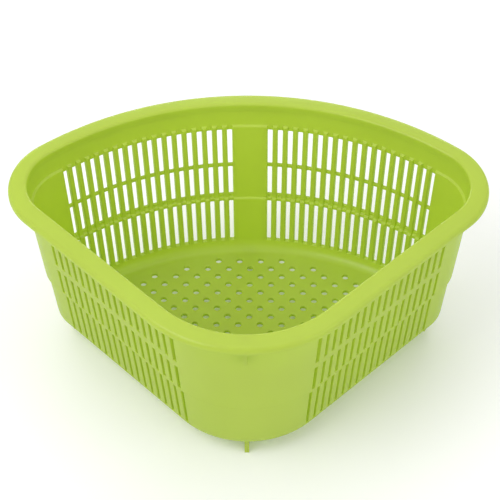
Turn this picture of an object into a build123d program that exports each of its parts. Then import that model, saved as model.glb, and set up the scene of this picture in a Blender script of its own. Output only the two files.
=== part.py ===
"""Corner sink strainer basket: a fan-shaped draining basket moulded in one plastic.

Plan: two straight sides at a right angle run from a rounded front corner to two side corners,
which a long back arc joins. Every height has the same plan, offset outwards as the wall rises,
so each stretch of wall is one cross-section, either revolved about its own centre or extruded.
+X is to the right, +Y to the back arc, +Z up. The origin is under the middle of the rim's box,
on the surface that the feet stand on.
"""
from build123d import *
from math import atan2, cos, degrees, radians, sin, sqrt, tan
import os

# Plan of the outer face at the level of the floor's upper face
back_radius = 152.0          # back arc
front_corner_radius = 47.5
side_corner_radius = 19.0
corner_lead = 54.2           # front corner's centre, ahead of the back arc's centre

# Heights above the floor's upper face
basket_depth = 94.4          # top of the wall, where the rolled rim begins
plain_band = 9.2             # plain wall between the rim and the ledge where the drain ribs start
lower_ledge = 35.6           # the wall steps inwards here

# Cross-section of the wall
skin = 1.6                   # outer shell
rib_depth = 1.3              # drain ribs stand this far in from the shell
draft_angle = 5.3            # the wall leans outwards
step_in = 1.25               # the lower tier's shell is this much smaller all round
ledge_slope = 0.7            # height of the sloping shoulder of a ledge
ledge_round = 0.4
floor_thickness = 2.1
bottom_round = 9.0           # outside radius between the wall and the underside

# Rolled rim: a cap that is open below, highest at its inner corner
rim_width = 10.0
rim_height = 5.2             # inner corner, above the top of the wall
rim_fall = 1.6               # the outer corner is this much lower than the inner one
rim_inner_round = 1.4
rim_outer_round = 2.6
rim_hollow_round = 0.4       # inside the cap, at its inner corner
rim_edge_round = 0.5         # free edge

# Drain slots: two tiers between the ledges, and one below them
middle_slot_height = 19.6
bridge_height = 1.7          # bar of skin between the upper and the middle tier
upper_ledge_gap = 2.9        # from the top of the upper slots to the ledge
above_lower_ledge_gap = 1.6
below_lower_ledge_gap = 2.2
floor_gap = 5.0              # from the floor's upper face to the lower slots
upper_slot_width = 2.5
middle_slot_width = 2.4
lower_slot_width = 2.2
side_slot_narrowing = 0.8    # the slots of the straight sides are this much narrower
side_upper_trim = 1.8        # and shorter: the upper ones at the bottom, the others at the top
side_middle_trim = 0.8
side_lower_trim = 0.8
cutter_reach = 2.0           # the slot cutters pass this far beyond both faces of the wall
back_slot_step = 2.0         # degrees between slots on the back arc
back_slot_first = 4.0        # degrees from the middle of the back to the first slot
pillar_half_angle = 3.0      # the plain strip in the middle of the back
side_slot_pitch = 5.32
side_slot_first = 1.8        # from the start of the straight side to its first slot
side_plain_end = 6.0         # least plain wall from the last slot to the side corner
back_plain_end = 2.0         # the same on the back arc, in degrees

# Drain holes in the floor: a square grid in line with the straight sides
hole_pitch = 8.5
hole_diameter = 3.5
hole_edge_margin = 2.4       # least distance from a hole's centre to the edge of the flat floor
gate_y = 4.4                 # the moulding gate takes one place of the grid

# Feet and the small rib under the front of the rim
foot_height = 7.5
foot_thickness = 2.4
foot_length = 9.5
foot_inset = 2.5             # outer end of a foot, in from the wall's outer face
side_foot_turn = 28.0        # degrees that a side foot points forward of straight out
side_foot_inset = 6.0
front_rib_thickness = 2.2
front_rib_height = 16.0
front_rib_depth = 3.0

# Derived heights
upper_ledge = basket_depth - plain_band
middle_bottom = lower_ledge + above_lower_ledge_gap
middle_tier = (middle_bottom, middle_bottom + middle_slot_height)
upper_tier = (middle_tier[1] + bridge_height, upper_ledge - upper_ledge_gap)
lower_tier = (floor_gap, lower_ledge - below_lower_ledge_gap)
floor_top = foot_height + floor_thickness
draft = tan(radians(draft_angle))
wall_top = floor_top + basket_depth

# Derived cross-section, w being the distance outwards from the plan line
rib_wall = skin + rib_depth
inner_round = bottom_round - floor_thickness
flat_floor_inset = rib_wall + inner_round
rim_inner_w = draft * basket_depth + step_in - skin

# Derived plan. The box of the rim is centred on the origin.
arc_y = -(back_radius + corner_lead - front_corner_radius) / 2
front_y = arc_y + corner_lead
half_diagonal = sqrt(0.5)
side_normal = Vector(half_diagonal, -half_diagonal, 0)
side_run = Vector(half_diagonal, half_diagonal, 0)
centre_reach = back_radius - side_corner_radius
centre_offset = front_corner_radius - side_corner_radius - corner_lead * half_diagonal
side_length = sqrt(centre_reach**2 - centre_offset**2) - corner_lead * half_diagonal
arc_centre = Vector(0, arc_y, 0)
front_centre = Vector(0, front_y, 0)
side_centre = (
    front_centre
    + side_normal * (front_corner_radius - side_corner_radius)
    + side_run * side_length
)
side_angle = -45.0           # direction of the straight side's outward normal
back_angle = degrees(atan2(side_centre.Y - arc_y, side_centre.X))

# Derived numbers of slots
slotted_side = side_length - side_slot_first - side_plain_end
slots_per_side = int(slotted_side / side_slot_pitch) + 1
slotted_back = 90 - back_angle - back_slot_first - back_plain_end
slots_per_back_half = int(slotted_back / back_slot_step) + 1


def shell_w(height, lower):
    """Outer face of the shell at a height above the floor's upper face."""
    return draft * height + (0 if lower else step_in)


def section_plane(centre, angle):
    """Upright plane through a plan centre: local X points outwards, local Y points up."""
    outwards = Vector(cos(radians(angle)), sin(radians(angle)), 0)
    along = Vector(sin(radians(angle)), -cos(radians(angle)), 0)
    return Plane(origin=centre + Vector(0, 0, floor_top), x_dir=outwards, z_dir=along)


def wall_section(radius):
    """Sketch the wall with its ribs: shell, both ledges and the rounded foot of the wall."""
    shoulder_top = lower_ledge + ledge_slope / 2
    shoulder_bottom = lower_ledge - ledge_slope / 2
    inner_upper = [
        (rim_inner_w, basket_depth),
        (shell_w(upper_ledge + ledge_slope / 2, False) - skin, upper_ledge + ledge_slope / 2),
        (shell_w(upper_ledge - ledge_slope / 2, False) - rib_wall, upper_ledge - ledge_slope / 2),
        (shell_w(shoulder_top, False) - rib_wall, shoulder_top),
        (shell_w(shoulder_bottom, True) - rib_wall, shoulder_bottom),
        (shell_w(0, True) - rib_wall, 0),
        (-flat_floor_inset, 0),
    ]
    outer_upper = [
        (-flat_floor_inset, -floor_thickness),
        (shell_w(-floor_thickness, True), -floor_thickness),
        (shell_w(shoulder_bottom, True), shoulder_bottom),
        (shell_w(shoulder_top, False), shoulder_top),
        (rim_inner_w + skin, basket_depth),
    ]
    corners = [(radius + w, height) for w, height in inner_upper + outer_upper]
    with BuildSketch() as section:
        with BuildLine():
            Polyline(*corners, close=True)
        make_face()
        for index, rounding in ((5, inner_round), (8, bottom_round)):
            fillet(section.vertices().sort_by_distance(corners[index])[0], rounding)
        for index in (1, 2, 3, 4, 9, 10):
            fillet(section.vertices().sort_by_distance(corners[index])[0], ledge_round)
    return section.sketch


def rim_cap(reach, depth):
    """Height in the rim's cap, at a reach from its inner face and a depth under its upper face."""
    return basket_depth + rim_height - rim_fall * reach / rim_width - depth


def rim_section(radius):
    """Sketch the rolled rim: a cap whose inner leg stands on the wall, open below."""
    inner = radius + rim_inner_w
    corners = [
        (inner, basket_depth),
        (inner, rim_cap(0, 0)),
        (inner + rim_width, rim_cap(rim_width, 0)),
        (inner + rim_width, basket_depth),
        (inner + rim_width - skin, basket_depth),
        (inner + rim_width - skin, rim_cap(rim_width - skin, skin)),
        (inner + skin, rim_cap(skin, skin)),
        (inner + skin, basket_depth),
    ]
    roundings = (
        (1, rim_inner_round),
        (2, rim_outer_round),
        (3, rim_edge_round),
        (4, rim_edge_round),
        (5, rim_outer_round - skin),
        (6, rim_hollow_round),
    )
    with BuildSketch() as section:
        with BuildLine():
            Polyline(*corners, close=True)
        make_face()
        for index, rounding in roundings:
            fillet(section.vertices().sort_by_distance(corners[index])[0], rounding)
    return section.sketch


def slot_section(radius, tier, channel, lower):
    """Sketch one slot: a channel between two ribs and the window through the shell behind it."""
    with BuildSketch() as section:
        for span, inner, outer in (
            (channel, rib_wall + cutter_reach, skin),
            (tier, skin, -cutter_reach),
        ):
            bottom, top = span
            with BuildLine():
                Polyline(
                    (radius + shell_w(bottom, lower) - inner, bottom),
                    (radius + shell_w(bottom, lower) - outer, bottom),
                    (radius + shell_w(top, lower) - outer, top),
                    (radius + shell_w(top, lower) - inner, top),
                    close=True,
                )
            make_face()
    return section.sketch


bridge = (upper_tier[0] + middle_tier[1]) / 2
tiers = (
    (upper_tier, (bridge, upper_ledge), upper_slot_width, False),
    (middle_tier, (lower_ledge, bridge), middle_slot_width, False),
    (lower_tier, (lower_tier[0], lower_ledge), lower_slot_width, True),
)
side_trims = ((side_upper_trim, 0), (0, side_middle_trim), (0, side_lower_trim))
side_tiers = [
    ((tier[0] + trim[0], tier[1] - trim[1]), channel, width - side_slot_narrowing, lower)
    for (tier, channel, width, lower), trim in zip(tiers, side_trims)
]


# One column of slots on the back arc, about its centre and pointing along +X
with BuildPart() as arc_slots:
    for tier, channel, width, lower in tiers:
        radius_here = back_radius + shell_w(tier[0], lower)
        half_turn = degrees(width / 2 / radius_here)
        with BuildSketch(section_plane(Vector(0, 0, 0), -half_turn)):
            add(slot_section(back_radius, tier, channel, lower))
        revolve(axis=Axis.Z, revolution_arc=2 * half_turn)

# One column of slots at the start of the straight side
with BuildPart() as side_slots:
    for tier, channel, width, lower in side_tiers:
        with BuildSketch(section_plane(front_centre - side_run * width / 2, side_angle)):
            add(slot_section(front_corner_radius, tier, channel, lower))
        extrude(amount=-width)

# The same column for the front corner, about its centre and pointing along +X
with BuildPart() as corner_slots:
    for tier, channel, width, lower in side_tiers:
        with BuildSketch(section_plane(Vector(0, width / 2, 0), 0)):
            add(slot_section(front_corner_radius, tier, channel, lower))
        extrude(amount=width)


# Floor: flat, with the grid of drain holes
def flat_floor_reach(x, y):
    """How far a point of the plan is inside the edge of the flat floor."""
    from_front = Vector(abs(x), y - front_y, 0)
    past_side = from_front.dot(side_normal)
    on_corner = from_front.dot(side_run) < 0
    side_distance = from_front.length if on_corner else past_side
    from_arc = (Vector(x, y, 0) - arc_centre).length
    from_side_centre = Vector(abs(x), y, 0) - side_centre
    beside_corner = from_side_centre.dot(side_run) > 0
    beyond_arc_end = degrees(atan2(y - arc_y, abs(x))) < back_angle
    reach = min(front_corner_radius - side_distance, back_radius - from_arc)
    if beside_corner and beyond_arc_end:
        reach = min(reach, side_corner_radius - from_side_centre.length)
    return reach - flat_floor_inset


grid_reach = int(back_radius / hole_pitch) + 2
hole_places = []
for i in range(-grid_reach, grid_reach + 1):
    for j in range(-grid_reach, grid_reach + 1):
        place = side_run * (i * hole_pitch) + side_normal * (j * hole_pitch)
        x, y = place.X, place.Y + gate_y
        if (i, j) != (0, 0) and flat_floor_reach(x, y) >= hole_edge_margin:
            hole_places.append((x, y))

with BuildPart() as floor:
    with BuildSketch(Plane.XY.offset(foot_height)):
        front_flat = front_corner_radius - flat_floor_inset
        side_flat = side_corner_radius - flat_floor_inset
        back_flat = back_radius - flat_floor_inset
        with BuildLine() as right_edge:
            CenterArc(front_centre, front_flat, -90, 45)
            Line(
                front_centre + side_normal * front_flat,
                front_centre + side_normal * front_flat + side_run * side_length,
            )
            CenterArc(side_centre, side_flat, side_angle, back_angle - side_angle)
            CenterArc(arc_centre, back_flat, back_angle, 90 - back_angle)
            mirror(about=Plane.YZ)
        make_face()
        with Locations(*hole_places):
            Circle(hole_diameter / 2, mode=Mode.SUBTRACT)
    extrude(amount=floor_thickness)

# Back wall: the plain strip in the middle, then a slotted stretch to each side corner
with BuildPart() as back_pillar:
    with BuildSketch(section_plane(arc_centre, 90 - pillar_half_angle)):
        add(wall_section(back_radius))
    revolve(axis=Axis(arc_centre, (0, 0, 1)), revolution_arc=2 * pillar_half_angle)

with BuildPart() as back_right_wall:
    with BuildSketch(section_plane(arc_centre, back_angle)):
        add(wall_section(back_radius))
    revolve(
        axis=Axis(arc_centre, (0, 0, 1)),
        revolution_arc=90 - pillar_half_angle - back_angle,
    )
    slot_range = back_slot_step * (slots_per_back_half - 1)
    with Locations(arc_centre):
        with PolarLocations(
            0,
            slots_per_back_half,
            start_angle=90 - back_slot_first - slot_range,
            angular_range=slot_range,
            endpoint=True,
        ):
            add(arc_slots.part, mode=Mode.SUBTRACT)

# Side corner: plain
with BuildPart() as right_corner:
    with BuildSketch(section_plane(side_centre, side_angle)):
        add(wall_section(side_corner_radius))
    revolve(axis=Axis(side_centre, (0, 0, 1)), revolution_arc=back_angle - side_angle)

# Straight side. One more column of slots, just before its first, is on the front corner.
with BuildPart() as right_wall:
    with BuildSketch(section_plane(front_centre, side_angle)):
        add(wall_section(front_corner_radius))
    extrude(amount=-side_length)
    with Locations(
        *[side_run * (side_slot_first + n * side_slot_pitch) for n in range(slots_per_side)]
    ):
        add(side_slots.part, mode=Mode.SUBTRACT)

# Front corner: plain, but for one column of slots at each end
with BuildPart() as front_corner:
    with BuildSketch(section_plane(front_centre, side_angle - 90)):
        add(wall_section(front_corner_radius))
    revolve(axis=Axis(front_centre, (0, 0, 1)), revolution_arc=90)
    slot_turn = degrees((side_slot_pitch - side_slot_first) / front_corner_radius)
    for turn in (side_angle - slot_turn, side_angle - 90 + slot_turn):
        with Locations(Location(front_centre, (0, 0, turn))):
            add(corner_slots.part, mode=Mode.SUBTRACT)

# Rolled rim, in the same stretches as the wall
with BuildPart() as rim_back:
    with BuildSketch(section_plane(arc_centre, back_angle)):
        add(rim_section(back_radius))
    revolve(axis=Axis(arc_centre, (0, 0, 1)), revolution_arc=2 * (90 - back_angle))

with BuildPart() as rim_right_corner:
    with BuildSketch(section_plane(side_centre, side_angle)):
        add(rim_section(side_corner_radius))
    revolve(axis=Axis(side_centre, (0, 0, 1)), revolution_arc=back_angle - side_angle)

with BuildPart() as rim_right_side:
    with BuildSketch(section_plane(front_centre, side_angle)):
        add(rim_section(front_corner_radius))
    extrude(amount=-side_length)

with BuildPart() as rim_front:
    with BuildSketch(section_plane(front_centre, side_angle - 90)):
        add(rim_section(front_corner_radius))
    revolve(axis=Axis(front_centre, (0, 0, 1)), revolution_arc=90)


def foot_section(radius, inset):
    """Sketch a foot: an upright fin that reaches up into the rounded foot of the wall."""
    outer = radius - inset
    inner = outer - foot_length
    wall_hold = min(inset, bottom_round)
    underside_drop = bottom_round - sqrt(bottom_round**2 - (bottom_round - wall_hold) ** 2)
    root = -floor_thickness + underside_drop + floor_thickness / 4
    with BuildSketch() as section:
        with BuildLine():
            Polyline(
                (outer, -floor_top),
                (outer, root),
                (radius - bottom_round, -floor_thickness / 2),
                (inner, -floor_thickness / 2),
                (inner, -floor_top),
                close=True,
            )
        make_face()
    return section.sketch


with BuildPart() as front_foot:
    with BuildSketch(section_plane(front_centre, -90)):
        add(foot_section(front_corner_radius, foot_inset))
    extrude(amount=foot_thickness / 2, both=True)
    add([front_corner.part, floor.part], mode=Mode.SUBTRACT)

with BuildPart() as back_foot:
    with BuildSketch(section_plane(arc_centre, 90)):
        add(foot_section(back_radius, foot_inset))
    extrude(amount=foot_thickness / 2, both=True)
    add([back_pillar.part, floor.part], mode=Mode.SUBTRACT)

with BuildPart() as right_foot:
    with BuildSketch(section_plane(side_centre, -side_foot_turn)):
        add(foot_section(side_corner_radius, side_foot_inset))
    extrude(amount=foot_thickness / 2, both=True)
    add([right_corner.part, floor.part], mode=Mode.SUBTRACT)

# Small upright rib between the front corner and its rim. Its top ends within the rim's cap.
with BuildPart() as front_rib:
    with BuildSketch(section_plane(front_centre, -90)):
        rib_bottom = basket_depth - front_rib_height
        foot_w = front_corner_radius + shell_w(rib_bottom, False)
        top_w = front_corner_radius + shell_w(basket_depth, False)
        with BuildLine():
            Polyline(
                (foot_w - skin / 2, rib_bottom),
                (foot_w + front_rib_depth, rib_bottom),
                (top_w + front_rib_depth, basket_depth),
                (top_w + front_rib_depth, rim_cap(skin + front_rib_depth, skin / 2)),
                (top_w - skin / 2, rim_cap(skin / 2, skin / 2)),
                close=True,
            )
        make_face()
    extrude(amount=front_rib_thickness / 2, both=True)
    add([front_corner.part, rim_front.part], mode=Mode.SUBTRACT)

# The left half repeats the right half
with BuildPart() as back_left_wall:
    mirror(back_right_wall.part, about=Plane.YZ)

with BuildPart() as left_corner:
    mirror(right_corner.part, about=Plane.YZ)

with BuildPart() as left_wall:
    mirror(right_wall.part, about=Plane.YZ)

with BuildPart() as rim_left_corner:
    mirror(rim_right_corner.part, about=Plane.YZ)

with BuildPart() as rim_left_side:
    mirror(rim_right_side.part, about=Plane.YZ)

with BuildPart() as left_foot:
    mirror(right_foot.part, about=Plane.YZ)

pieces = {
    "floor": floor,
    "back_pillar": back_pillar,
    "back_left_wall": back_left_wall,
    "back_right_wall": back_right_wall,
    "left_corner": left_corner,
    "right_corner": right_corner,
    "left_wall": left_wall,
    "right_wall": right_wall,
    "front_corner": front_corner,
    "rim_back": rim_back,
    "rim_left_corner": rim_left_corner,
    "rim_right_corner": rim_right_corner,
    "rim_left_side": rim_left_side,
    "rim_right_side": rim_right_side,
    "rim_front": rim_front,
    "front_foot": front_foot,
    "back_foot": back_foot,
    "left_foot": left_foot,
    "right_foot": right_foot,
    "front_rib": front_rib,
}

os.makedirs("parts", exist_ok=True)
for name, piece in pieces.items():
    piece.part.label = name
    export_step(piece.part, f"parts/{name}.step")
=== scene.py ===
"""Looks of the corner sink strainer basket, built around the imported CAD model.

Every stretch of the moulding is one mesh: a grid of cells along the outline, up the wall and
through its thickness, from which the drain slots and the channels between the ribs are left out.
"""

from math import atan2, cos, degrees, hypot, pi, radians, sin, sqrt, tan

import bmesh
import bpy
from mathutils import Matrix, Vector


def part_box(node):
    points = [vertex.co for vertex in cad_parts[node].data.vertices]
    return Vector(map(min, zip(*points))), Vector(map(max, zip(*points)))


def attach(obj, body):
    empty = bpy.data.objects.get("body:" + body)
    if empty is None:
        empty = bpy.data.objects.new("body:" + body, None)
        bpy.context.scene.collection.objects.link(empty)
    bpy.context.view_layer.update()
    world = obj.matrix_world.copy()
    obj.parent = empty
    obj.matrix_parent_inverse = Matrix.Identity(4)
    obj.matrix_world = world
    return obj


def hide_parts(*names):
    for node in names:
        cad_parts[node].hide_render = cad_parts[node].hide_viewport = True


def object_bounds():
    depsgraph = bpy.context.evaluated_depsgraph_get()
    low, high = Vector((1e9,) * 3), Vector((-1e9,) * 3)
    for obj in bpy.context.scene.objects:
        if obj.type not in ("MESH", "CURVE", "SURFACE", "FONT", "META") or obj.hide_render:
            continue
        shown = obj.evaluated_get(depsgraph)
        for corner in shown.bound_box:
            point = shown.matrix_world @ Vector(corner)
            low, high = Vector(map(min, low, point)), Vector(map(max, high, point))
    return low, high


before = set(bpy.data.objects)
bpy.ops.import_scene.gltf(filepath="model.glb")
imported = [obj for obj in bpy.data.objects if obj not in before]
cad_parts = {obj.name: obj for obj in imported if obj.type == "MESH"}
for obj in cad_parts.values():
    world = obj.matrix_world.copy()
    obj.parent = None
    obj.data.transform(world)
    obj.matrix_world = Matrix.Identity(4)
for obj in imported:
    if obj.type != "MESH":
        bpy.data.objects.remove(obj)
cad_low, cad_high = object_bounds()

MM = 0.001

# ---------------------------------------------------------------------------------------------
# Sizes of the moulding in millimetres. They follow the CAD model; the ledges' slope, the free
# edge's rounding, the slots' draft and the lower slots' ends are the visual model's own.
# ---------------------------------------------------------------------------------------------
BACK_RADIUS = 152.0
FRONT_RADIUS = 47.5
SIDE_RADIUS = 19.0
CORNER_LEAD = 54.2
DEPTH = 94.4
UPPER_LEDGE = 85.2
LOWER_LEDGE = 35.6
LEDGE_SLOPE = 0.6
SKIN = 1.6
RIB_DEPTH = 1.3
RIB_WALL = SKIN + RIB_DEPTH
LEAN = radians(5.3)
DRAFT = tan(LEAN)
STEP_IN = 1.25
FLOOR_THICKNESS = 2.1
OUTER_ROUND = 9.0
INNER_ROUND = OUTER_ROUND - FLOOR_THICKNESS
FLAT_INSET = RIB_WALL + INNER_ROUND
RIM_WIDTH = 10.0
RIM_HEIGHT = 5.2             # inner corner of the rim's cap, above the wall
RIM_FALL = 1.6               # its outer corner is this much lower
RIM_INNER_ROUND = 1.4
RIM_OUTER_ROUND = 2.6
RIM_HOLLOW_ROUND = 0.4
FREE_EDGE_ROUND = 0.75
RIM_W = DRAFT * DEPTH + STEP_IN - SKIN
UPPER_TIER = (58.5, 82.3)
MIDDLE_TIER = (37.2, 56.8)
LOWER_TIER_TOP = 33.4
LOWER_TIER_TURN = 13.0       # degrees down the rounded foot of the wall where the lower slots end
SLOT_WIDTH_AT_20 = 2.2       # slot width 20 mm above the floor
SLOT_TAPER = 0.0059          # growth of the slot's width per mm of height
# Half width added to a slot at the outer face, inside the skin, and at the ribs' face
BACK_SLOT_DRAFT = (0.0, 0.0, 0.32)
SIDE_SLOT_DRAFT = (-0.2, -0.42, 0.1)
SIDE_UPPER_TRIM = 1.8        # the slots of the straight sides are this much shorter
SIDE_MIDDLE_TRIM = 0.8
SIDE_LOWER_TRIM = 0.8
SLOTS = 18
BACK_STEP = 2.0
BACK_FIRST = 4.0
PILLAR_HALF = 3.0
SIDE_PITCH = 5.32
SIDE_FIRST = 1.8
HOLE_PITCH = 8.5
HOLE_RADIUS = 1.75
HOLE_MARGIN = 2.4
GATE_Y = 4.4
DRAFTED_ABOVE = 2.0          # the slots' sides have their draft down to this height
STRAIGHT_BELOW = 4.0         # the slots narrow downwards as far as this height
FRONT_PLAIN = (-127.5, -52.5)            # degrees: plain wall of the front corner, in even cells
BACK_PLAIN_END = 1.5         # degrees from the last back slot to the plain cells beside it
SIDE_PLAIN_END = 3.0         # the same on the straight sides, in millimetres
EDGE_ROUND = 0.3             # rounding of the edges of the slots and the holes
CAD_EDGE_ROUND = 0.25        # the same on the CAD nodes that are shown as they are
SHARP_ANGLE = radians(32)    # edges that turn more than this are rounded

FLOOR_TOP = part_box("floor")[1].z / MM
ARC_Y = (cad_high.y / MM) - BACK_RADIUS - RIM_W - RIM_WIDTH
FRONT_Y = ARC_Y + CORNER_LEAD
K = sqrt(0.5)
CENTRE_REACH = BACK_RADIUS - SIDE_RADIUS
SIDE_LENGTH = (
    sqrt(CENTRE_REACH**2 - (FRONT_RADIUS - SIDE_RADIUS - CORNER_LEAD * K) ** 2) - CORNER_LEAD * K
)
SIDE_X = K * (FRONT_RADIUS - SIDE_RADIUS + SIDE_LENGTH)
SIDE_Y = FRONT_Y + K * (SIDE_LENGTH - FRONT_RADIUS + SIDE_RADIUS)
BACK_ANGLE = degrees(atan2(SIDE_Y - ARC_Y, SIDE_X))


# ---------------------------------------------------------------------------------------------
# Places along the outline: u is degrees on an arc and millimetres on the straight side
# ---------------------------------------------------------------------------------------------
def on_arc(centre_x, centre_y, radius):
    def place(u, w, h):
        a = radians(u)
        reach = radius + w
        return centre_x + reach * cos(a), centre_y + reach * sin(a), FLOOR_TOP + h

    place.per_mm = degrees(1 / radius)
    place.slot_draft = BACK_SLOT_DRAFT
    place.trimmed = False
    return place


def on_side(u, w, h):
    reach = FRONT_RADIUS + w
    return K * (reach + u), FRONT_Y + K * (u - reach), FLOOR_TOP + h


on_side.per_mm = 1.0
on_back = on_arc(0, ARC_Y, BACK_RADIUS)
on_front = on_arc(0, FRONT_Y, FRONT_RADIUS)
on_side_corner = on_arc(SIDE_X, SIDE_Y, SIDE_RADIUS)
for place in (on_side, on_front):
    place.slot_draft = SIDE_SLOT_DRAFT
    place.trimmed = True


def plain(start, end, parts):
    """Edges of the cells of a stretch without slots: (u, 0)."""
    return [(start + (end - start) * n / parts, 0) for n in range(parts + 1)]


def slotted(start, end, centres):
    """Edges of the cells of a stretch with slots: (u, -1, 0 or 1 for its side of a slot)."""
    edges = [(start, 0)]
    for centre in centres:
        edges += [(centre, -1), (centre, 1)]
    return edges + [(end, 0)]


side_centres = [SIDE_FIRST + n * SIDE_PITCH for n in range(SLOTS - 1)]
back_centres = sorted(90 - BACK_FIRST - n * BACK_STEP for n in range(SLOTS))
front_turn = degrees((SIDE_PITCH - SIDE_FIRST) / FRONT_RADIUS)
front_edges = (
    [(-135, 0), (-135 + front_turn, -1), (-135 + front_turn, 1)]
    + plain(*FRONT_PLAIN, 30)
    + [(-45 - front_turn, -1), (-45 - front_turn, 1), (-45, 0)]
)
back_edges = (
    plain(BACK_ANGLE, back_centres[0] - BACK_PLAIN_END, 2)[:-1]
    + slotted(back_centres[0] - BACK_PLAIN_END, 90 - PILLAR_HALF, back_centres)
)
side_edges = slotted(0, side_centres[-1] + SIDE_PLAIN_END, side_centres) + [(SIDE_LENGTH, 0)]


def half_slot(h):
    """Half of the slot's width at a height: the slots narrow downwards."""
    return (SLOT_WIDTH_AT_20 + SLOT_TAPER * (max(h, STRAIGHT_BELOW) - 20)) / 2


def edge_u(place, edge, h, k=0):
    """Where an edge is at a height and a layer: k is 0 at the outer face and 2 at the ribs' face."""
    draft = place.slot_draft[k] if h > DRAFTED_ABOVE else 0
    return edge[0] + edge[1] * (half_slot(h) + draft) * place.per_mm


# ---------------------------------------------------------------------------------------------
# Cross-section of the wall: stations from the rim down to the floor, each with its outer face,
# the inner face of the skin, and the inner face of the ribs
# ---------------------------------------------------------------------------------------------
def straight_station(h, stepped_in):
    w = DRAFT * h + (0 if stepped_in else STEP_IN)
    return [(w, h), (w - SKIN, h), (w - RIB_WALL, h)]


def round_station(turn):
    """A station on the rounded foot of the wall, turn degrees below the horizontal."""
    a = radians(turn)
    centre_h = OUTER_ROUND - FLOOR_THICKNESS
    outer_w = DRAFT * centre_h - OUTER_ROUND / cos(LEAN)
    inner_w = DRAFT * centre_h - RIB_WALL - INNER_ROUND / cos(LEAN)
    outer = (outer_w + OUTER_ROUND * cos(a), centre_h - OUTER_ROUND * sin(a))
    inner = (inner_w + INNER_ROUND * cos(a), centre_h - INNER_ROUND * sin(a))
    share = SKIN / RIB_WALL
    middle = tuple(o + (i - o) * share for o, i in zip(outer, inner))
    return [outer, middle, inner]


def pinched(station):
    """A station where there is no rib: its inner face is the skin's."""
    return [station[0], station[1], station[1]]


(
    TOP, LEDGE_TOP, LEDGE_FOOT, T1_TOP, T1_END, T2_TOP,
    T2_END, STEP_TOP, STEP_FOOT, T3_TOP, TANGENT, T3_END,
) = range(12)
stations = [
    pinched(straight_station(DEPTH, False)),
    pinched(straight_station(UPPER_LEDGE + LEDGE_SLOPE / 2, False)),
    straight_station(UPPER_LEDGE - LEDGE_SLOPE / 2, False),
    straight_station(UPPER_TIER[1], False),
    straight_station(UPPER_TIER[0], False),
    straight_station(MIDDLE_TIER[1], False),
    straight_station(MIDDLE_TIER[0], False),
    straight_station(LOWER_LEDGE + LEDGE_SLOPE / 2, False),
    straight_station(LOWER_LEDGE - LEDGE_SLOPE / 2, True),
    straight_station(LOWER_TIER_TOP, True),
    round_station(degrees(LEAN)),
    round_station(LOWER_TIER_TURN),
]
stations += [round_station(turn) for turn in (22, 31, 40, 49, 58, 67, 76, 84, 90)]
stations.append([(-FLAT_INSET, h) for h in (-FLOOR_THICKNESS, -FLOOR_THICKNESS / 2, 0)])


trimmed_stations = list(stations)
trimmed_stations[T1_END] = straight_station(UPPER_TIER[0] + SIDE_UPPER_TRIM, False)
trimmed_stations[T2_TOP] = straight_station(MIDDLE_TIER[1] - SIDE_MIDDLE_TRIM, False)
trimmed_stations[T3_TOP] = straight_station(LOWER_TIER_TOP - SIDE_LOWER_TRIM, True)


def filled(row, layer, slot):
    """Whether the moulding fills a cell of a row: layer 0 is the skin, layer 1 the ribs."""
    if row == TOP:
        return layer == 0
    if not slot:
        return True
    if row in (T1_TOP, T2_TOP, T3_TOP, TANGENT):
        return False
    if row in (LEDGE_TOP, LEDGE_FOOT, T1_END, T2_END, STEP_TOP, STEP_FOOT):
        return layer == 0
    return True


def new_piece(name, bm, nodes, bevel=0.0):
    mesh = bpy.data.meshes.new(name)
    bm.to_mesh(mesh)
    bm.free()
    for polygon in mesh.polygons:
        polygon.use_smooth = True
    piece = bpy.data.objects.new(name, mesh)
    bpy.context.scene.collection.objects.link(piece)
    mesh.materials.append(plastic)
    if bevel:
        rounding = piece.modifiers.new("rounded_edges", "BEVEL")
        rounding.width = bevel * MM
        rounding.segments = 2
        rounding.limit_method = "ANGLE"
        rounding.angle_limit = SHARP_ANGLE
        rounding.harden_normals = True
        rounding.use_clamp_overlap = True
    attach(piece, "root")
    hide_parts(*nodes)
    return piece


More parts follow.
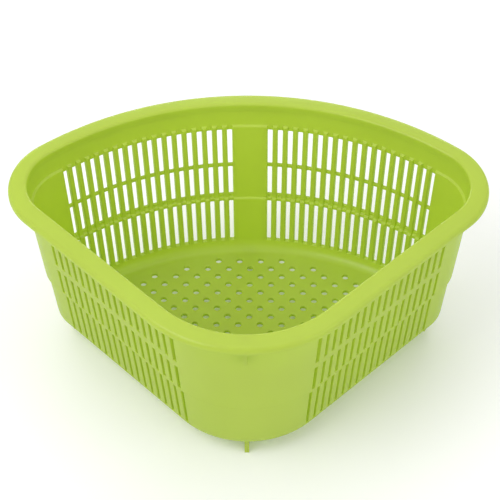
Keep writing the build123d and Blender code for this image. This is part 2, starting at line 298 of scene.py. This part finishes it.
def wall_piece(name, node, place, edges, mirrored=False):
    bm = bmesh.new()
    made = {}
    section = trimmed_stations if place.trimmed else stations

    def vertex(i, j, k):
        w, h = section[j][k]
        if k == 2 and section[j][1] == section[j][2]:
            k = 1
        if (i, j, k) not in made:
            x, y, z = place(edge_u(place, edges[i], section[j][0][1], k), w, h)
            made[i, j, k] = bm.verts.new((-x * MM if mirrored else x * MM, y * MM, z * MM))
        return made[i, j, k]

    def quad(*corners, turned=False):
        found = [vertex(*c) for c in corners]
        kept = [v for n, v in enumerate(found) if v is not found[n - 1]]
        if len(kept) > 2:
            bm.faces.new(kept if turned == mirrored else kept[::-1])

    columns, rows = len(edges) - 1, len(section) - 1
    is_slot = [edges[i][1] == -1 and edges[i + 1][1] == 1 for i in range(columns)]
    for i in range(columns):
        for j in range(rows):
            for k in (0, 1):
                if not filled(j, k, is_slot[i]):
                    continue
                if k == 0 or not filled(j, 0, is_slot[i]):
                    quad((i, j, k), (i, j + 1, k), (i + 1, j + 1, k), (i + 1, j, k))
                if k == 1 or not filled(j, 1, is_slot[i]):
                    quad((i, j, k + 1), (i + 1, j, k + 1), (i + 1, j + 1, k + 1), (i, j + 1, k + 1))
                if j and not filled(j - 1, k, is_slot[i]):
                    quad((i, j, k), (i + 1, j, k), (i + 1, j, k + 1), (i, j, k + 1))
                if j + 1 < rows and not filled(j + 1, k, is_slot[i]):
                    quad((i, j + 1, k), (i, j + 1, k + 1), (i + 1, j + 1, k + 1), (i + 1, j + 1, k))
                if i and not filled(j, k, is_slot[i - 1]):
                    quad((i, j, k), (i, j, k + 1), (i, j + 1, k + 1), (i, j + 1, k))
                if i + 1 < columns and not filled(j, k, is_slot[i + 1]):
                    quad((i + 1, j, k), (i + 1, j + 1, k), (i + 1, j + 1, k + 1), (i + 1, j, k + 1))
    return new_piece(name, bm, [node], EDGE_ROUND)


# ---------------------------------------------------------------------------------------------
# Rolled rim: a cap with a rounded free edge, swept along the outline
# ---------------------------------------------------------------------------------------------
def rounded_corner(points, n, radius, steps):
    """The points of an arc that rounds corner n of an open line."""
    corner, before, after = (Vector(points[m]) for m in (n, n - 1, n + 1))
    a, b = (before - corner).normalized(), (after - corner).normalized()
    half = a.angle(b) / 2
    centre = corner + (a + b).normalized() * (radius / sin(half))
    start, end = corner + a * (radius / tan(half)), corner + b * (radius / tan(half))
    turn = (start - centre).angle_signed(end - centre)
    found = []
    for m in range(steps + 1):
        arm = (start - centre).copy()
        arm.rotate(Matrix.Rotation(-turn * m / steps, 2))
        found.append(tuple(centre + arm))
    return found


def rim_profile():
    """From the foot of the cap's inner leg over the top to the free edge and back inside it."""
    slope = RIM_FALL / RIM_WIDTH
    hollow_top = RIM_HEIGHT - SKIN
    corners = [
        (0, 0),
        (0, RIM_HEIGHT),
        (RIM_WIDTH, RIM_HEIGHT - RIM_FALL),
        (RIM_WIDTH, 0),
        (RIM_WIDTH - SKIN, 0),
        (RIM_WIDTH - SKIN, hollow_top - slope * (RIM_WIDTH - SKIN)),
        (SKIN, hollow_top - slope * SKIN),
        (SKIN, 0),
    ]
    roundings = (
        (RIM_INNER_ROUND, 10),
        (RIM_OUTER_ROUND, 10),
        (FREE_EDGE_ROUND, 6),
        (FREE_EDGE_ROUND, 6),
        (RIM_OUTER_ROUND - SKIN, 4),
        (RIM_HOLLOW_ROUND, 4),
    )
    points = [corners[0]]
    for n, (radius, steps) in enumerate(roundings, 1):
        points += rounded_corner(corners, n, radius, steps)
    points.append(corners[-1])
    return [(RIM_W + w, DEPTH + h) for w, h in points]


rim_points = rim_profile()


def rim_piece(name, node, place, edges, mirrored=False):
    bm = bmesh.new()
    columns = []
    for edge in edges:
        ring = []
        for w, h in rim_points:
            x, y, z = place(edge[0], w, h)
            ring.append(bm.verts.new((-x * MM if mirrored else x * MM, y * MM, z * MM)))
        columns.append(ring)
    for a, b in zip(columns, columns[1:]):
        for n in range(len(rim_points) - 1):
            corners = (a[n], b[n], b[n + 1], a[n + 1])
            bm.faces.new(corners[::-1] if mirrored else corners)
    return new_piece(name, bm, [node])


# ---------------------------------------------------------------------------------------------
# Floor: a flat plate with the grid of round holes
# ---------------------------------------------------------------------------------------------
def floor_outline():
    """The right half of the flat floor's edge, from the middle of the front to that of the back."""
    found = []
    for place, edges in (
        (on_front, [e for e in front_edges if e[0] >= -90]),
        (on_side, side_edges),
        (on_side_corner, corner_edges),
        (on_back, back_edges),
        (on_back, [e for e in pillar_edges if e[0] <= 90]),
    ):
        for edge in edges:
            x, y, z = place(edge_u(place, edge, -FLOOR_THICKNESS), -FLAT_INSET, 0)
            if not found or hypot(x - found[-1][0], y - found[-1][1]) > 0.01:
                found.append((x, y))
    return found


def flat_reach(x, y):
    """How far a point of the plan is inside the edge of the flat floor."""
    x = abs(x)
    along = K * (x + y - FRONT_Y)
    across = K * (x - y + FRONT_Y)
    reach = FRONT_RADIUS - (hypot(x, y - FRONT_Y) if along < 0 else across)
    reach = min(reach, BACK_RADIUS - hypot(x, y - ARC_Y))
    if K * (x - SIDE_X + y - SIDE_Y) > 0 and degrees(atan2(y - ARC_Y, x)) < BACK_ANGLE:
        reach = min(reach, SIDE_RADIUS - hypot(x - SIDE_X, y - SIDE_Y))
    return reach - FLAT_INSET


def hole_places():
    count = int(BACK_RADIUS / HOLE_PITCH) + 2
    places = []
    for i in range(-count, count + 1):
        for j in range(-count, count + 1):
            x = K * HOLE_PITCH * (i + j)
            y = K * HOLE_PITCH * (i - j) + GATE_Y
            if (i, j) != (0, 0) and flat_reach(x, y) >= HOLE_MARGIN:
                places.append((x, y))
    return places


def floor_piece():
    bm = bmesh.new()
    right = floor_outline()
    outline = right + [(-x, y) for x, y in right[-2:0:-1]]
    sides = 28

    def loop(points, h):
        return [bm.verts.new((x * MM, y * MM, (FLOOR_TOP + h) * MM)) for x, y in points]

    def circle(centre, radius):
        turns = [2 * pi * n / sides for n in range(sides)]
        return [(centre[0] + radius * cos(a), centre[1] + radius * sin(a)) for a in turns]

    def closed_edges(verts):
        return [bm.edges.new((verts[n - 1], verts[n])) for n in range(len(verts))]

    steps = [
        (EDGE_ROUND * (1 - sin(radians(turn))), -EDGE_ROUND * (1 - cos(radians(turn))))
        for turn in (0, 30, 60, 90)
    ]
    levels = [(out, h) for out, h in steps] + [(out, -FLOOR_THICKNESS - h) for out, h in steps[::-1]]
    top_edges = closed_edges(loop(outline, 0))
    bottom_edges = closed_edges(loop(outline, -FLOOR_THICKNESS))
    for centre in hole_places():
        rings = [loop(circle(centre, HOLE_RADIUS + out), h) for out, h in levels]
        for upper, lower in zip(rings, rings[1:]):
            for n in range(sides):
                bm.faces.new((upper[n - 1], upper[n], lower[n], lower[n - 1]))
        top_edges += [bm.edges.get((rings[0][n - 1], rings[0][n])) for n in range(sides)]
        bottom_edges += [bm.edges.get((rings[-1][n - 1], rings[-1][n])) for n in range(sides)]
    for edges, up in ((top_edges, 1), (bottom_edges, -1)):
        made = bmesh.ops.triangle_fill(
            bm, use_beauty=True, use_dissolve=False, edges=edges, normal=(0, 0, up)
        )
        for face in made["geom"]:
            if isinstance(face, bmesh.types.BMFace):
                face.normal_update()
                if face.normal.z * up < 0:
                    face.normal_flip()
    piece = new_piece("floor_plate", bm, ["floor"])
    weighting = piece.modifiers.new("flat_faces", "WEIGHTED_NORMAL")
    weighting.weight = 100
    return piece


# ---------------------------------------------------------------------------------------------
# Material
# ---------------------------------------------------------------------------------------------
def lime_plastic():
    material = bpy.data.materials.new("lime_plastic")
    material.use_nodes = True
    nodes, links = material.node_tree.nodes, material.node_tree.links
    shader = nodes["Principled BSDF"]
    place = nodes.new("ShaderNodeTexCoord")

    def noise(scale, detail, stretch=(1, 1, 1)):
        mapping = nodes.new("ShaderNodeMapping")
        mapping.inputs["Scale"].default_value = stretch
        links.new(place.outputs["Object"], mapping.inputs["Vector"])
        texture = nodes.new("ShaderNodeTexNoise")
        texture.inputs["Scale"].default_value = scale
        texture.inputs["Detail"].default_value = detail
        links.new(mapping.outputs["Vector"], texture.inputs["Vector"])
        return texture.outputs["Fac"]

    def ramp(source, low, high, at=(0.35, 0.65)):
        node = nodes.new("ShaderNodeValToRGB")
        for element, position, colour in zip(node.color_ramp.elements, at, (low, high)):
            element.position = position
            element.color = colour
        links.new(source, node.inputs["Fac"])
        return node.outputs["Color"]

    flow = noise(22, 3, (1, 1, 0.35))
    colour = ramp(flow, (0.600, 0.700, 0.115, 1), (0.620, 0.720, 0.125, 1))
    links.new(colour, shader.inputs["Base Color"])
    haze = noise(60, 4)
    gloss = nodes.new("ShaderNodeMapRange")
    gloss.inputs["From Min"].default_value = 0.3
    gloss.inputs["From Max"].default_value = 0.7
    gloss.inputs["To Min"].default_value = 0.2
    gloss.inputs["To Max"].default_value = 0.26
    links.new(haze, gloss.inputs["Value"])
    links.new(gloss.outputs["Result"], shader.inputs["Roughness"])
    ripple = nodes.new("ShaderNodeBump")
    ripple.inputs["Strength"].default_value = 0.25
    ripple.inputs["Distance"].default_value = 0.00006
    links.new(noise(420, 2), ripple.inputs["Height"])
    links.new(ripple.outputs["Normal"], shader.inputs["Normal"])
    shader.inputs["IOR"].default_value = 1.49
    glow = nodes.new("ShaderNodeBsdfTranslucent")
    links.new(ramp(flow, (0.690, 0.850, 0.004, 1), (0.710, 0.870, 0.008, 1)), glow.inputs["Color"])
    both = nodes.new("ShaderNodeMixShader")
    both.inputs["Fac"].default_value = 0.45
    links.new(shader.outputs["BSDF"], both.inputs[1])
    links.new(glow.outputs["BSDF"], both.inputs[2])
    links.new(both.outputs["Shader"], nodes["Material Output"].inputs["Surface"])
    return material


plastic = lime_plastic()

# ---------------------------------------------------------------------------------------------
# The pieces
# ---------------------------------------------------------------------------------------------
corner_edges = plain(-45, BACK_ANGLE, 30)
pillar_edges = plain(90 - PILLAR_HALF, 90 + PILLAR_HALF, 6)
wall_piece("back_pillar_skin", "back_pillar", on_back, pillar_edges)
wall_piece("front_corner_skin", "front_corner", on_front, front_edges)
for side, mirrored in (("right", False), ("left", True)):
    wall_piece(f"back_{side}_wall_skin", f"back_{side}_wall", on_back, back_edges, mirrored)
    wall_piece(f"{side}_corner_skin", f"{side}_corner", on_side_corner, corner_edges, mirrored)
    wall_piece(f"{side}_wall_skin", f"{side}_wall", on_side, side_edges, mirrored)
    rim_piece(f"rim_{side}_corner_roll", f"rim_{side}_corner", on_side_corner, corner_edges, mirrored)
    rim_piece(f"rim_{side}_side_roll", f"rim_{side}_side", on_side, plain(0, SIDE_LENGTH, 24), mirrored)
rim_piece("rim_back_roll", "rim_back", on_back, plain(BACK_ANGLE, 180 - BACK_ANGLE, 82))
rim_piece("rim_front_roll", "rim_front", on_front, plain(-135, -45, 36))
floor_piece()

for name in ("front_foot", "back_foot", "left_foot", "right_foot", "front_rib"):
    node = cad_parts[name]
    node.data.materials.clear()
    node.data.materials.append(plastic)
    soft_edges = node.modifiers.new("rounded_edges", "BEVEL")
    soft_edges.width = CAD_EDGE_ROUND * MM
    soft_edges.segments = 2
    soft_edges.limit_method = "ANGLE"
    soft_edges.angle_limit = SHARP_ANGLE
    soft_edges.harden_normals = True

# ---------------------------------------------------------------------------------------------
# Studio
# ---------------------------------------------------------------------------------------------
def studio_floor():
    bm = bmesh.new()
    bmesh.ops.create_grid(bm, x_segments=1, y_segments=1, size=6.0)
    mesh = bpy.data.meshes.new("studio_floor")
    bm.to_mesh(mesh)
    bm.free()
    piece = bpy.data.objects.new("studio_floor", mesh)
    bpy.context.scene.collection.objects.link(piece)
    material = bpy.data.materials.new("studio_floor")
    material.use_nodes = True
    shader = material.node_tree.nodes["Principled BSDF"]
    shader.inputs["Base Color"].default_value = (0.93, 0.93, 0.93, 1)
    shader.inputs["Roughness"].default_value = 0.6
    shader.inputs["Emission Color"].default_value = (1, 1, 1, 1)
    shader.inputs["Emission Strength"].default_value = 0.07
    mesh.materials.append(material)
    piece.location.z = cad_low.z


def soft_light(name, place, aim, size, power, colour=(1, 1, 1)):
    data = bpy.data.lights.new(name, "AREA")
    data.shape = "RECTANGLE"
    data.size, data.size_y = size
    data.energy = power
    data.color = colour
    light = bpy.data.objects.new(name, data)
    light.location = place
    light.rotation_mode = "QUATERNION"
    light.rotation_quaternion = (Vector(aim) - Vector(place)).to_track_quat("-Z", "Y")
    bpy.context.scene.collection.objects.link(light)


studio_floor()
soft_light("key", (-0.9, -0.5, 1.3), (0, 0, 0.05), (1.0, 1.0), 10)
soft_light("fill", (1.3, -0.7, 0.9), (0, 0, 0.05), (1.2, 1.0), 4)
soft_light("top", (0, 0.3, 1.6), (0, 0, 0), (1.6, 1.2), 3.5)
soft_light("back_strip", (-0.15, 1.5, 0.38), (0, 0, 0.1), (1.6, 0.12), 6)

world = bpy.data.worlds.new("studio")
world.use_nodes = True
world.node_tree.nodes["Background"].inputs["Color"].default_value = (1, 1, 1, 1)
world.node_tree.nodes["Background"].inputs["Strength"].default_value = 0.68
bpy.context.scene.world = world
bpy.context.scene.view_settings.view_transform = "Standard"

# Camera at the photograph's viewing angle
camera_data = bpy.data.cameras.new("camera")
camera_data.sensor_width = 36
camera_data.lens = 124.1
camera_data.clip_end = 20
camera = bpy.data.objects.new("camera", camera_data)
right = Vector((0.9999, 0.0141, -0.0058)).normalized()
forward = Vector((-0.0139, 0.686, -0.7275)).normalized()
up = right.cross(forward)
camera.matrix_world = Matrix.Translation((0.01353, -0.61351, 0.73118)) @ Matrix(
    (right, up, -forward)
).transposed().to_4x4()
bpy.context.scene.collection.objects.link(camera)
bpy.context.scene.camera = camera
